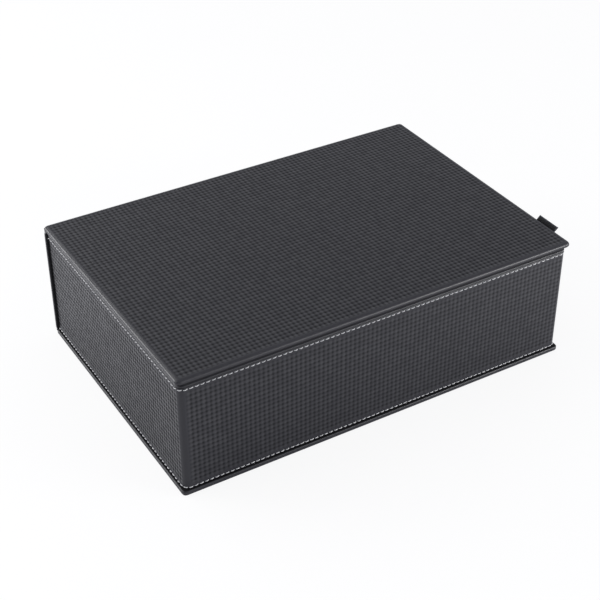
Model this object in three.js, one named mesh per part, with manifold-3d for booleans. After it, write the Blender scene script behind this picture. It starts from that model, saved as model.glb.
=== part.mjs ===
// A hard watch box made like a book: lid, spine and base are boards wrapped in embossed leatherette,
// and they fold round a leatherette-covered tray with suede compartments and a cushion in each.
//
// Frame: +X runs to the right along the front, +Y from front to back, +Z up.
// The origin is the centre of the case's underside. All sizes are in millimetres.

import * as THREE from "three";
import { mergeVertices } from "three/addons/utils/BufferGeometryUtils.js";
import Module from "manifold-3d";

// ---------------------------------------------------------------- driving sizes

// Outside of the closed case.
const caseLength = 310;
const caseWidth = 213;
const caseHeight = 94;

// Sheets and boards.
const leatherThickness = 0.6;
const panelBoardThickness = 2; // board inside the lid, the spine and the base
const wallThickness = 4; // board of the tray's walls
const floorThickness = 2;
const suedeThickness = 1; // suede on thin card, inside the tray
const glueLine = 0.1; // left between two pieces that are glued face to face

// Case.
const panelEdgeRadius = 1.2; // rounding of the leather round a panel's edge
const turnIn = 15; // leather folded in on a panel's inner face
const overhang = 1.5; // lid and base stand out past the tray at the front and the sides
const rimGap = 0.7; // shadow gap between the lid and the tray's rim
const jointHeight = 3.5; // strip of leather that bends between the spine and the lid
const hingeStandOff = 0.3; // hinge line behind the spine's outer face

// Tray.
const trayCornerRadius = 5;
const rimLip = 8; // leather folded down inside the rim
const columns = 5;
const rowNames = ["front", "back"];
const dividerThickness = 3;
const dividerAboveCushion = 3;
const slipGap = 0.2; // between pieces that slide into place

// Cushions.
const cushionSideGap = 1.3; // on each side, to the divider
const strapGap = 9; // in front of and behind a cushion, where a watch strap goes down
const watchHeadroom = 30.7; // above a cushion, under the closed lid's lining
const cushionCornerRadius = 18;

// Lid lining.
const lidPadThickness = 3;
const lidPadClearance = 3.4; // all round, inside the tray's rim
const lidPadEdgeRadius = 1.2;

// Closing magnets.
const magnetLength = 20;
const magnetFromEnd = 45; // magnet's middle, from the case's end
const lidMagnetWidth = 5;
const lidMagnetThickness = 1.2;
const wallMagnetWidth = 2.4;
const wallMagnetHeight = 6;

// Ribbon tab on the lid's right edge.
const tabWidth = 20;
const tabThickness = 0.4;
const tabFromFront = 29.8; // tab's middle, from the case's front edge
const tabTail = 6; // glued under the lid, inwards from the bend
const tabBendInside = 0.8; // where the bend starts, inwards from the lid's edge
const tabBendRadius = 2.5; // at the ribbon's middle
const tabBendAngle = THREE.MathUtils.degToRad(42);
const tabFreeLength = 5;

const arcSteps = 6; // straight steps in a quarter turn

// ---------------------------------------------------------------- worked-out sizes

const panelThickness = panelBoardThickness + 2 * (leatherThickness + glueLine);
const lidUnderside = caseHeight - panelThickness;
const trayBottom = panelThickness + glueLine;
const trayHeight = lidUnderside - rimGap - trayBottom;
const trayLength = caseLength - 2 * overhang;
const trayFront = -caseWidth / 2 + overhang;
const trayBack = caseWidth / 2 - panelThickness - glueLine;
const trayWidth = trayBack - trayFront;

// Insets from the tray's outside.
const wallOuterInset = leatherThickness + glueLine;
const wallInnerInset = wallOuterInset + wallThickness;
const lipInset = wallInnerInset + glueLine + leatherThickness;
const wellInset = wallInnerInset + glueLine + suedeThickness;

// Heights above the tray's underside.
const wallTop = trayHeight - leatherThickness - glueLine;
const floorTop = floorThickness + glueLine + suedeThickness;
const lipBottom = trayHeight - rimLip;
const padUnderside = trayHeight + rimGap - glueLine - lidPadThickness;

// The well is the space between the linings, divided into compartments.
const wellLength = trayLength - 2 * wellInset;
const wellWidth = trayWidth - 2 * wellInset;
const compartmentLength = (wellLength - (columns - 1) * dividerThickness) / columns;
const compartmentWidth = (wellWidth - dividerThickness) / rowNames.length;
const cushionLength = compartmentLength - 2 * cushionSideGap;
const cushionWidth = compartmentWidth - 2 * strapGap;
const cushionBottom = floorTop + slipGap;
const cushionHeight = padUnderside - cushionBottom - watchHeadroom;
const dividerBottom = floorTop + glueLine;
const dividerTop = cushionBottom + cushionHeight + dividerAboveCushion;

// ---------------------------------------------------------------- finishes

function finish(colour, roughness, metalness = 0) {
  return new THREE.MeshStandardMaterial({ color: colour, roughness, metalness });
}

const leather = finish(0x333338, 0.5);
const board = finish(0x8d8778, 0.9);
const suede = finish(0x2a2a2d, 0.95);
const cushionSuede = finish(0x3a3a3e, 0.95);
const ribbon = finish(0x17171a, 0.8);
const steel = finish(0xb4b6ba, 0.3, 1);

// ---------------------------------------------------------------- shaping

const wasm = await Module();
wasm.setup();

function solidFrom(geometry) {
  const bare = geometry.clone();
  bare.deleteAttribute("normal");
  bare.deleteAttribute("uv");
  const merged = mergeVertices(bare);
  return new wasm.Manifold(
    new wasm.Mesh({
      numProp: 3,
      vertProperties: merged.getAttribute("position").array,
      triVerts: new Uint32Array(merged.index.array),
    }),
  );
}

function geometryFrom(solid) {
  const mesh = solid.getMesh();
  const geometry = new THREE.BufferGeometry();
  geometry.setAttribute("position", new THREE.BufferAttribute(mesh.vertProperties, 3));
  geometry.setIndex(new THREE.BufferAttribute(mesh.triVerts, 1));
  geometry.computeVertexNormals();
  return geometry;
}

function cutAway(body, tools) {
  let solid = solidFrom(body);
  for (const tool of tools) {
    solid = solid.subtract(solidFrom(tool));
  }
  return geometryFrom(solid);
}

function keepWithin(body, zone) {
  return geometryFrom(solidFrom(body).intersect(solidFrom(zone)));
}

// A block centred on X and Y, from z0 up to z1.
function block(length, width, z0, z1, x = 0, y = 0) {
  const geometry = new THREE.BoxGeometry(length, width, z1 - z0);
  return geometry.translate(x, y, (z0 + z1) / 2);
}

// A rectangle centred on the origin, with round corners.
function roundRectangle(length, width, radius) {
  const x = length / 2 - radius;
  const y = width / 2 - radius;
  const quarter = Math.PI / 2;
  const shape = new THREE.Shape();
  shape.absarc(x, -y, radius, -quarter, 0);
  shape.absarc(x, y, radius, 0, quarter);
  shape.absarc(-x, y, radius, quarter, 2 * quarter);
  shape.absarc(-x, -y, radius, 2 * quarter, 3 * quarter);
  shape.closePath();
  return shape;
}

// A plate with upright, round corners, from z0 up to z1.
function plate(length, width, radius, z0, z1) {
  const shape = roundRectangle(length, width, radius);
  const options = { depth: z1 - z0, bevelEnabled: false, curveSegments: arcSteps };
  return new THREE.ExtrudeGeometry(shape, options).translate(0, 0, z0);
}

// A plate whose edges are rounded above and below, from z = 0 up to its thickness.
function softPlate(length, width, thickness, edgeRadius) {
  const cornerRadius = edgeRadius / 2;
  const shape = roundRectangle(length - 2 * edgeRadius, width - 2 * edgeRadius, cornerRadius);
  const options = {
    depth: thickness - 2 * edgeRadius,
    bevelThickness: edgeRadius,
    bevelSize: edgeRadius,
    bevelSegments: 3,
    curveSegments: 3,
  };
  return new THREE.ExtrudeGeometry(shape, options).translate(0, 0, edgeRadius);
}

function addPiece(parent, name, geometry, material, x = 0, y = 0, z = 0) {
  const mesh = new THREE.Mesh(geometry, material.clone());
  mesh.name = name;
  mesh.position.set(x, y, z);
  parent.add(mesh);
  return mesh;
}

function addGroup(parent, x, y, z) {
  const group = new THREE.Group();
  group.position.set(x, y, z);
  parent.add(group);
  return group;
}

// ---------------------------------------------------------------- wrapped panels

// Leather over a panel's outer face (up), round its edges and turned in below.
function panelCover(length, width) {
  const outside = softPlate(length, width, panelThickness, panelEdgeRadius);
  const pocket = block(
    length - 2 * leatherThickness,
    width - 2 * leatherThickness,
    leatherThickness,
    panelThickness - leatherThickness,
  );
  const window = block(length - 2 * turnIn, width - 2 * turnIn, -1, leatherThickness + 1);
  return cutAway(outside, [pocket, window]);
}

function panelBoard(length, width) {
  const inset = leatherThickness + glueLine;
  return block(length - 2 * inset, width - 2 * inset, inset, inset + panelBoardThickness);
}

function buildBase(whole) {
  const group = addGroup(whole, 0, 0, panelThickness);
  group.rotation.x = Math.PI;
  addPiece(group, "base_cover", panelCover(caseLength, caseWidth), leather);
  addPiece(group, "base_board", panelBoard(caseLength, caseWidth), board);
}

function buildSpine(whole) {
  const top = lidUnderside - jointHeight;
  const height = top - trayBottom;
  const middle = (top + trayBottom) / 2;
  const group = addGroup(whole, 0, trayBack + glueLine, middle);
  group.rotation.x = -Math.PI / 2;
  addPiece(group, "spine_cover", panelCover(caseLength, height), leather);
  addPiece(group, "spine_board", panelBoard(caseLength, height), board);
}

// The strip of the outer leather that bends, and the suede strip that covers the joint from inside.
function buildHinge(whole) {
  const top = lidUnderside - glueLine;
  const bottom = lidUnderside - jointHeight + glueLine;
  const strip = block(caseLength - 2 * panelEdgeRadius, leatherThickness, bottom, top);
  const stripY = (caseWidth - leatherThickness) / 2;
  addPiece(whole, "hinge_leather", strip, leather, 0, stripY);

  const linerFront = trayBack - lipInset;
  const linerBack = caseWidth / 2 - leatherThickness - glueLine;
  const linerBottom = lidUnderside - rimGap + glueLine;
  const liner = block(trayLength - 2 * trayCornerRadius, linerBack - linerFront, linerBottom, top);
  addPiece(whole, "hinge_liner", liner, suede, 0, (linerFront + linerBack) / 2);
}

// ---------------------------------------------------------------- lid

function magnetX(side) {
  return side * (caseLength / 2 - magnetFromEnd);
}

// The ribbon seen from its end: a flat tail, a bend upwards and a free end with a round fold.
function ribbonOutline() {
  const half = tabThickness / 2;
  const end = new THREE.Vector2(
    tabBendRadius * Math.sin(tabBendAngle) + tabFreeLength * Math.cos(tabBendAngle),
    tabBendRadius * (1 - Math.cos(tabBendAngle)) + tabFreeLength * Math.sin(tabBendAngle),
  );
  const quarter = Math.PI / 2;
  const shape = new THREE.Shape();
  shape.moveTo(-tabTail, -half);
  shape.absarc(0, tabBendRadius, tabBendRadius + half, -quarter, tabBendAngle - quarter);
  shape.absarc(end.x, end.y, half, tabBendAngle - quarter, tabBendAngle + quarter);
  shape.absarc(0, tabBendRadius, tabBendRadius - half, tabBendAngle - quarter, -quarter, true);
  shape.lineTo(-tabTail, half);
  shape.closePath();
  return shape;
}

function sideTab() {
  const options = { depth: tabWidth, bevelEnabled: false, curveSegments: arcSteps };
  const ribbonStrip = new THREE.ExtrudeGeometry(ribbonOutline(), options);
  return ribbonStrip.rotateX(Math.PI / 2).translate(0, tabWidth / 2, 0);
}

// The lid's own group stands on its underside, closed over the tray.
function buildLid(whole) {
  const group = addGroup(whole, 0, 0, lidUnderside);
  const magnetY = trayFront + wallOuterInset + wallThickness / 2;
  const boardBottom = leatherThickness + glueLine;
  const magnetTop = boardBottom + lidMagnetThickness;
  const pockets = [];
  for (const side of [-1, 1]) {
    const length = magnetLength + 2 * slipGap;
    const width = lidMagnetWidth + 2 * slipGap;
    pockets.push(block(length, width, 0, magnetTop + glueLine, magnetX(side), magnetY));
  }
  addPiece(group, "lid_cover", panelCover(caseLength, caseWidth), leather);
  addPiece(group, "lid_board", cutAway(panelBoard(caseLength, caseWidth), pockets), board);
  const magnet = block(magnetLength, lidMagnetWidth, boardBottom, magnetTop);
  addPiece(group, "lid_magnet_left", magnet, steel, magnetX(-1), magnetY);
  addPiece(group, "lid_magnet_right", magnet, steel, magnetX(1), magnetY);

  const padLength = trayLength - 2 * (lipInset + lidPadClearance);
  const padWidth = trayWidth - 2 * (lipInset + lidPadClearance);
  const pad = softPlate(padLength, padWidth, lidPadThickness, lidPadEdgeRadius);
  const trayMiddle = (trayFront + trayBack) / 2;
  addPiece(group, "lid_lining", pad, suede, 0, trayMiddle, -glueLine - lidPadThickness);

  const tabX = caseLength / 2 - tabBendInside;
  const tabY = -caseWidth / 2 + tabFromFront;
  addPiece(group, "side_tab", sideTab(), ribbon, tabX, tabY, -glueLine - tabThickness / 2);
}

// ---------------------------------------------------------------- tray

// The leather band: outside of the walls, over the rim and a lip down inside it.
function trayCover() {
  const outside = plate(trayLength, trayWidth, trayCornerRadius, 0, trayHeight);
  const wallLength = trayLength - 2 * wallOuterInset;
  const wallWidth = trayWidth - 2 * wallOuterInset;
  const wallRadius = trayCornerRadius - wallOuterInset;
  const below = plate(wallLength, wallWidth, wallRadius, -1, lipBottom);
  const lipLength = trayLength - 2 * (wallInnerInset + glueLine);
  const lipWidth = trayWidth - 2 * (wallInnerInset + glueLine);
  const aroundWalls = plate(wallLength, wallWidth, wallRadius, lipBottom - 1, wallTop + glueLine);
  const groove = cutAway(aroundWalls, [block(lipLength, lipWidth, 0, trayHeight)]);
  const mouth = block(trayLength - 2 * lipInset, trayWidth - 2 * lipInset, 0, trayHeight + 1);
  return cutAway(outside, [below, groove, mouth]);
}

// The four walls are cut from one ring of board, so that they share its round corners.
function buildWalls(group) {
  const innerLength = trayLength - 2 * wallInnerInset;
  const innerWidth = trayWidth - 2 * wallInnerInset;
  const outerLength = trayLength - 2 * wallOuterInset;
  const outerWidth = trayWidth - 2 * wallOuterInset;
  const cornerRadius = trayCornerRadius - wallOuterInset;
  const ring = cutAway(plate(outerLength, outerWidth, cornerRadius, 0, wallTop), [
    block(innerLength, innerWidth, -1, trayHeight),
  ]);

  const wallY = (innerWidth + wallThickness) / 2;
  const longZone = block(outerLength + 1, wallThickness, -1, trayHeight);
  const front = keepWithin(ring, longZone.clone().translate(0, -wallY, 0));
  const pockets = [];
  const magnetBottom = wallTop - wallMagnetHeight;
  for (const side of [-1, 1]) {
    const length = magnetLength + 2 * slipGap;
    const width = wallMagnetWidth + 2 * slipGap;
    pockets.push(block(length, width, magnetBottom - glueLine, trayHeight, magnetX(side), -wallY));
  }
  addPiece(group, "front_wall", cutAway(front, pockets), board);
  addPiece(group, "back_wall", keepWithin(ring, longZone.clone().translate(0, wallY, 0)), board);
  const magnet = block(magnetLength, wallMagnetWidth, magnetBottom, wallTop);
  addPiece(group, "wall_magnet_left", magnet, steel, magnetX(-1), -wallY);
  addPiece(group, "wall_magnet_right", magnet, steel, magnetX(1), -wallY);

  const wallX = (innerLength + wallThickness) / 2;
  const shortZone = block(wallThickness, innerWidth - 2 * glueLine, -1, trayHeight);
  addPiece(group, "left_wall", keepWithin(ring, shortZone.clone().translate(-wallX, 0, 0)), board);
  addPiece(group, "right_wall", keepWithin(ring, shortZone.clone().translate(wallX, 0, 0)), board);
}

function buildLinings(group) {
  const length = trayLength - 2 * (wallInnerInset + glueLine);
  const width = trayWidth - 2 * (wallInnerInset + glueLine);
  addPiece(group, "floor_board", block(length, width, 0, floorThickness), board);
  addPiece(group, "floor_lining", block(length, width, floorThickness + glueLine, floorTop), suede);

  const bottom = floorTop + glueLine;
  const top = lipBottom - slipGap;
  const long = block(length, suedeThickness, bottom, top);
  const short = block(suedeThickness, wellWidth - 2 * glueLine, bottom, top);
  const x = (length - suedeThickness) / 2;
  const y = (width - suedeThickness) / 2;
  addPiece(group, "front_lining", long, suede, 0, -y);
  addPiece(group, "back_lining", long, suede, 0, y);
  addPiece(group, "left_lining", short, suede, -x);
  addPiece(group, "right_lining", short, suede, x);
}

// Cross dividers drop over the long divider: each has half of the joint's height cut away.
function buildDividers(group) {
  const halfway = (dividerBottom + dividerTop) / 2;
  const slot = dividerThickness + 2 * slipGap;
  const columnPitch = compartmentLength + dividerThickness;
  const topSlots = [];
  const crossPlaces = [];
  for (let i = 1; i < columns; i += 1) {
    const x = (i - columns / 2) * columnPitch;
    crossPlaces.push(x);
    topSlots.push(block(slot, slot, halfway, dividerTop + 1, x));
  }
  const long = block(wellLength - 2 * slipGap, dividerThickness, dividerBottom, dividerTop);
  addPiece(group, "long_divider", cutAway(long, topSlots), suede);

  const cross = cutAway(block(dividerThickness, wellWidth - 2 * slipGap, dividerBottom, dividerTop), [
    block(slot, slot, dividerBottom - 1, halfway + slipGap),
  ]);
  crossPlaces.forEach((x, i) => {
    addPiece(group, "cross_divider_" + (i + 1), cross, suede, x);
  });
}

// A cushion is a foam block with rounded ends, covered in suede: a strap goes round it from front to back.
function cushion() {
  const outline = roundRectangle(cushionWidth, cushionHeight, cushionCornerRadius);
  const options = { depth: cushionLength, bevelEnabled: false, curveSegments: arcSteps };
  const geometry = new THREE.ExtrudeGeometry(outline, options);
  geometry.translate(0, 0, -cushionLength / 2);
  return geometry.rotateX(Math.PI / 2).rotateZ(Math.PI / 2);
}

function buildCushions(group) {
  const geometry = cushion();
  const columnPitch = compartmentLength + dividerThickness;
  const rowPitch = compartmentWidth + dividerThickness;
  const z = cushionBottom + cushionHeight / 2;
  rowNames.forEach((rowName, row) => {
    for (let column = 0; column < columns; column += 1) {
      const x = (column - (columns - 1) / 2) * columnPitch;
      const y = (row - (rowNames.length - 1) / 2) * rowPitch;
      addPiece(group, "cushion_" + rowName + "_" + (column + 1), geometry, cushionSuede, x, y, z);
    }
  });
}

// The tray's own group stands on its underside, centred on the tray.
function buildTray(whole) {
  const group = addGroup(whole, 0, (trayFront + trayBack) / 2, trayBottom);
  addPiece(group, "tray_cover", trayCover(), leather);
  buildWalls(group);
  buildLinings(group);
  buildDividers(group);
  buildCushions(group);
}

// ---------------------------------------------------------------- whole

const watchBox = new THREE.Group();
buildBase(watchBox);
buildSpine(watchBox);
buildHinge(watchBox);
buildTray(watchBox);
buildLid(watchBox);

export default watchBox;
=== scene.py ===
"""A black watch box made like a book: embossed leatherette over boards, a stitched tray, suede inside."""

import math

import bmesh
import bpy
import numpy as np
from mathutils import Matrix, Vector
from mathutils.bvhtree import BVHTree


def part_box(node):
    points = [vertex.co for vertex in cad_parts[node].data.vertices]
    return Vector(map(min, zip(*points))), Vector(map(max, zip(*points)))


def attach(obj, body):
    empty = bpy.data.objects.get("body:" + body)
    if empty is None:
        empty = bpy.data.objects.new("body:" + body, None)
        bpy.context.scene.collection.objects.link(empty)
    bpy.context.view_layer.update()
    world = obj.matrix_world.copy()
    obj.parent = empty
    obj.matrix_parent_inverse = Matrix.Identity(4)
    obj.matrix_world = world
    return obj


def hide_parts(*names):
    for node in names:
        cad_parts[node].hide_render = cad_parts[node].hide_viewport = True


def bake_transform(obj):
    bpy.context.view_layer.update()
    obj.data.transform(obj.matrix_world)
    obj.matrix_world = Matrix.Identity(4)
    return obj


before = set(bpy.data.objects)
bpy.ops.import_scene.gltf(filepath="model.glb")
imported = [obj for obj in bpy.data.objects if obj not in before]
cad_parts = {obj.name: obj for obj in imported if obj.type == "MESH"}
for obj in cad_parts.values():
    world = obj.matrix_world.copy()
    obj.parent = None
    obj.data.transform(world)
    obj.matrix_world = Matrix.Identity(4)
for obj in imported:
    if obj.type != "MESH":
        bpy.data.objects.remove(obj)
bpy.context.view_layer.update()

MM = 0.001
TAU = 2 * math.pi

# Embossed weave.
CELL = 3.454 * MM               # one raised square of the weave
WEAVE_DEPTH = 0.36 * MM         # deepest pit on the panels
BAND_WEAVE_DEPTH = 0.34 * MM    # deepest pit on the tray
UNEVEN_SQUARES = 0.16           # how much a square's height may differ, as a share of the depth
BAND_PAINTED_PIT_SHADE_AND_POLISH = 0.92             # how dark the tray's painted pit shade is, and how much its high spots are polished
LEFT_PAINTED_PIT_SHADE_AND_POLISH = 1.7              # and on its left side, where the painted pit shade and the polish contrast are stronger for the way the light falls there

# Wrapped panels.
PANEL_CORNER = 2.9 * MM         # round corner seen from above
LID_SOFT_WIDTH = 2.6 * MM       # how far in the lid's rounding reaches
PANEL_SOFT = 1.7 * MM           # rounding along the outer face
PANEL_SOFT_BACK = 0.6 * MM      # rounding along the inner face
BOARD_CORNER = 2.6 * MM         # round corner of the boards inside
SPINE_REACH = 1.4 * MM          # how far the spine's leather reaches down behind the base

# Tray band.
UPPER_SEAM = 5.0 * MM           # stitch row below the rim
LOWER_SEAM = 1.45 * MM          # stitch row above the tray's underside
UPPER_DIP = LOWER_DIP = 0.2     # how much of the corner's sag each seam follows
FOOT_SOFT = 0.9 * MM            # rounding of the band's lower edge
BEAD_DROP = 2.6 * MM            # middle of the bead below the rim
BEAD_RADIUS = 0.75 * MM
BEAD_CREASE = 3.6 * MM          # crease under the bead, below the rim
CREASE_WIDTH = 0.40 * MM
LEDGE_DEPTH = 1.4 * MM          # step between the bead and the rim's top
SKIVED = 1.95 * MM              # cut from the walls' outer edges, under the bead
TRAY_CORNER = 5.0 * MM
TRAY_BACK_CORNER = 0.9 * MM
TIGHTEST_CORNER = 0.25 * MM     # of the lines deep inside the band
CORNER_STEPS = 12
BAND_COARSE = 12 * MM           # columns where there is no weave

# Stitching.
STITCH_PITCH_UPPER = 3.94 * MM
STITCH_PITCH_LOWER = 3.80 * MM
STITCH_LENGTH = 2.75 * MM
THREAD = 0.60 * MM

# Cushions.
FOAM_SHRINK = 5.0 * MM          # how much smaller the foam block starts
FOAM_EDGE = 15 * MM
FOAM_VOXEL = 4 * MM
FOAM_PRESSURE = 12.0
FOAM_STEPS = 20                 # frames of the cloth simulation
FOAM_LIMIT = 5 * MM             # furthest that a point may move
CUSHION_TURNS = 72              # points round a cushion
CUSHION_SEAM = 2.6 * MM         # seam in from the cushion's end
CUSHION_DENT = 0.10 * MM
PIPING_RADIUS = 0.75 * MM

# Studio, in metres, watts and degrees.
VIEW_AZIMUTH, VIEW_ELEVATION, VIEW_ROLL = -30.75, 34.69, -0.19
VIEW_TARGET = (-0.0103, -0.0109, 0.047)
VIEW_DISTANCE = 0.992
VIEW_LENS, VIEW_SENSOR = 82.5, 36.0
ROOM_LIGHT = 0.478              # at the horizon
CEILING_LIGHT = 0.13            # added towards the ceiling
FLOOR_HALF, FLOOR_DROP = 6.0, 0.0003
SOFTBOXES = (                   # name, place, aim, size, power
    ("front_softbox", (0.86, -0.92, 0.20), (0.1, -0.1, 0.07), (0.76, 0.35), 13.0),
    ("left_softbox", (-1.1, 1.0, 0.30), (-0.1, 0.0, 0.05), (0.8, 0.5), 10.0),
    ("left_top_softbox", (-0.75, 0.25, 0.65), (-0.25, 0.0, 0.0), (0.6, 0.6), 2.2),
    ("back_top_softbox", (-0.28, 1.00, 0.95), (-0.15, 0.0, 0.09), (0.5, 0.5), 2.0),
)


def smoothstep(low, high, value):
    t = np.clip((value - low) / (high - low), 0.0, 1.0)
    return t * t * (3.0 - 2.0 * t)


def hump(value, middle, width):
    return np.exp(-(((value - middle) / width) ** 2))


def four_sided(*corners):
    """Faces from four matching tables of point numbers."""
    return np.stack(corners, axis=-1).reshape(-1, 4).tolist()


def tube_faces(rings, around):
    """Faces between rings that follow each other in the list of points."""
    index = np.arange(rings * around).reshape(rings, around)
    turned = np.roll(index, -1, axis=1)
    return four_sided(index[:-1], turned[:-1], turned[1:], index[1:])


def border(index):
    """The outermost points of a grid, once round."""
    return np.concatenate([index[:-1, 0], index[-1, :-1], index[:0:-1, -1], index[0, :0:-1]])


class Nodes:
    """A small hand for adding nodes to a tree and joining them."""

    def __init__(self, tree):
        self.tree = tree

    def add(self, kind, feeds=None, **settings):
        node = self.tree.nodes.new(kind)
        for key, value in settings.items():
            setattr(node, key, value)
        self.feed(node, feeds or {})
        return node

    def link(self, source, target):
        self.tree.links.new(source, target)

    def feed(self, node, feeds):
        """Joins each named input to another node's output, or sets it to a constant."""
        for key, value in feeds.items():
            if isinstance(value, bpy.types.NodeSocket):
                self.link(value, node.inputs[key])
            else:
                node.inputs[key].default_value = value

    def math(self, operation, *values, clamp=False):
        node = self.add("ShaderNodeMath", dict(enumerate(values)), operation=operation, use_clamp=clamp)
        return node.outputs[0]

    def mix(self, factor, first, second):
        first, second = ((*c, 1.0) if isinstance(c, tuple) else c for c in (first, second))
        node = self.add("ShaderNodeMix", data_type="RGBA")
        wanted = {"Factor_Float": factor, "A_Color": first, "B_Color": second}
        places = {s.identifier: k for k, s in enumerate(node.inputs)}
        self.feed(node, {places[key]: value for key, value in wanted.items()})
        return next(s for s in node.outputs if s.identifier == "Result_Color")

    def noise(self, vector, scale, detail=3.0, roughness=0.5):
        feeds = {"Vector": vector, "Scale": scale, "Detail": detail, "Roughness": roughness}
        return self.add("ShaderNodeTexNoise", feeds).outputs["Fac"]

    def attribute(self, name):
        return self.add("ShaderNodeAttribute", attribute_name=name).outputs["Fac"]

    def place(self):
        """Where on the piece a texture is read."""
        return self.add("ShaderNodeTexCoord").outputs["Object"]

    def camera_ray(self):
        return self.add("ShaderNodeLightPath").outputs["Is Camera Ray"]


# ------------------------------------------------------------------ camera, light, floor


def put_in_scene(name, data):
    thing = bpy.data.objects.new(name, data)
    bpy.context.scene.collection.objects.link(thing)
    return thing


def place_camera():
    """Three-quarter view from the front left, a little above the lid."""
    azimuth, elevation, roll = (math.radians(v) for v in (VIEW_AZIMUTH, VIEW_ELEVATION, VIEW_ROLL))
    level = math.cos(elevation)
    back = Vector((math.sin(azimuth) * level, -math.cos(azimuth) * level, math.sin(elevation)))
    right = Vector((math.cos(azimuth), math.sin(azimuth), 0.0))
    turned_right = math.cos(roll) * right + math.sin(roll) * back.cross(right)
    camera = put_in_scene("studio_camera", bpy.data.cameras.new("studio_camera"))
    camera.data.sensor_width = VIEW_SENSOR
    camera.data.lens = VIEW_LENS
    camera.data.clip_start, camera.data.clip_end = 0.01, 50.0
    axes = Matrix((turned_right, back.cross(turned_right), back)).transposed().to_4x4()
    camera.matrix_world = Matrix.Translation(Vector(VIEW_TARGET) + back * VIEW_DISTANCE) @ axes
    bpy.context.scene.camera = camera


def hang_softbox(name, place, aim, size, power):
    light = bpy.data.lights.new(name, "AREA")
    light.shape = "RECTANGLE"
    light.size, light.size_y = size
    light.energy = power
    holder = put_in_scene(name, light)
    direction = Vector(aim) - Vector(place)
    holder.rotation_euler = direction.to_track_quat("-Z", "Y").to_euler()
    holder.location = place


def light_the_studio():
    """A white room, a low softbox in front on the right, two on the left and one high at the back."""
    scene = bpy.context.scene
    scene.view_settings.view_transform = "Standard"
    world = bpy.data.worlds.new("studio_world")
    world.use_nodes = True
    n = Nodes(world.node_tree)
    backdrop = world.node_tree.nodes["Background"]
    n.feed(backdrop, {"Color": (1.0, 1.0, 1.0, 1.0)})
    heading = n.add("ShaderNodeSeparateXYZ", {0: n.add("ShaderNodeTexCoord").outputs["Generated"]})
    overhead = n.math("DIVIDE", heading.outputs[2], 0.6, clamp=True)
    strength = n.math("MULTIPLY_ADD", overhead, CEILING_LIGHT, ROOM_LIGHT)
    room = n.add("ShaderNodeBackground", {"Color": (0.96, 0.97, 1.04, 1.0), "Strength": strength})
    mix = n.add("ShaderNodeMixShader", {0: n.camera_ray(), 1: room.outputs[0], 2: backdrop.outputs[0]})
    n.feed(world.node_tree.nodes["World Output"], {"Surface": mix.outputs[0]})
    scene.world = world
    for softbox in SOFTBOXES:
        hang_softbox(*softbox)


def lay_floor():
    """A pale floor that looks white to the camera and still takes a faint shadow."""
    mesh = bpy.data.meshes.new("studio_floor")
    h = FLOOR_HALF
    corners = [(-h, -h, -FLOOR_DROP), (h, -h, -FLOOR_DROP), (h, h, -FLOOR_DROP), (-h, h, -FLOOR_DROP)]
    mesh.from_pydata(corners, [], [(0, 1, 2, 3)])
    floor = put_in_scene("studio_floor", mesh)
    material, n, shader = new_material("pale_floor", 0.9, Specular_IOR_Level=0.1)
    n.feed(shader, {"Base Color": (0.86, 0.86, 0.88, 1.0)})
    glow = n.add("ShaderNodeEmission", {"Strength": 1.03})
    seen = n.math("MULTIPLY", n.camera_ray(), 0.85)
    mix = n.add("ShaderNodeMixShader", {0: seen, 1: shader.outputs[0], 2: glow.outputs[0]})
    n.feed(material.node_tree.nodes["Material Output"], {"Surface": mix.outputs[0]})
    mesh.materials.append(material)


# ------------------------------------------------------------------ shader groups and materials


def new_group(name, inputs, outputs):
    group = bpy.data.node_groups.new(name, "ShaderNodeTree")
    for label, kind, value in inputs:
        socket = group.interface.new_socket(label, in_out="INPUT", socket_type="NodeSocket" + kind)
        if value is not None:
            socket.default_value = value
    for label in outputs:
        group.interface.new_socket(label, in_out="OUTPUT", socket_type="NodeSocketFloat")
    n = Nodes(group)
    return group, n, n.add("NodeGroupInput").outputs, n.add("NodeGroupOutput")


def weave_group():
    """Raised squares with pits where the furrows cross, in cells of the piece's Weave map."""
    group, n, start, end = new_group(
        "Weave_Emboss",
        [("Cells", "Vector", None), ("Emboss", "Float", 1.0)],
        ["Height", "Burnish", "Pit"],
    )
    apart = n.add("ShaderNodeSeparateXYZ", {0: start["Cells"]})
    waves = []
    for axis in (0, 1):
        angle = n.math("MULTIPLY", apart.outputs[axis], TAU)
        waves.append(n.math("MULTIPLY_ADD", n.math("COSINE", angle), -0.5, 0.5))
    raised = n.math("MULTIPLY", n.math("ADD", *waves), 0.5)
    whole = n.add("ShaderNodeVectorMath", {0: start["Cells"]}, operation="FLOOR")
    lot = n.add("ShaderNodeTexWhiteNoise", {"Vector": whole.outputs[0]}, noise_dimensions="3D")
    uneven = n.math("MULTIPLY_ADD", lot.outputs["Value"], 0.40, 0.80)
    polished = n.math("SUBTRACT", n.math("MULTIPLY", raised, uneven, clamp=True), 0.5)
    contrast = n.math("MULTIPLY", start["Emboss"], 1.1)
    burnish = n.math("MULTIPLY_ADD", polished, contrast, 0.5, clamp=True)
    low = n.math("POWER", n.math("SUBTRACT", 1.0, raised), 1.5)
    pit = n.math("MULTIPLY", low, start["Emboss"], clamp=True)
    n.feed(end, {"Height": n.math("SUBTRACT", 1.0, pit), "Burnish": burnish, "Pit": pit})
    return group


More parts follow.
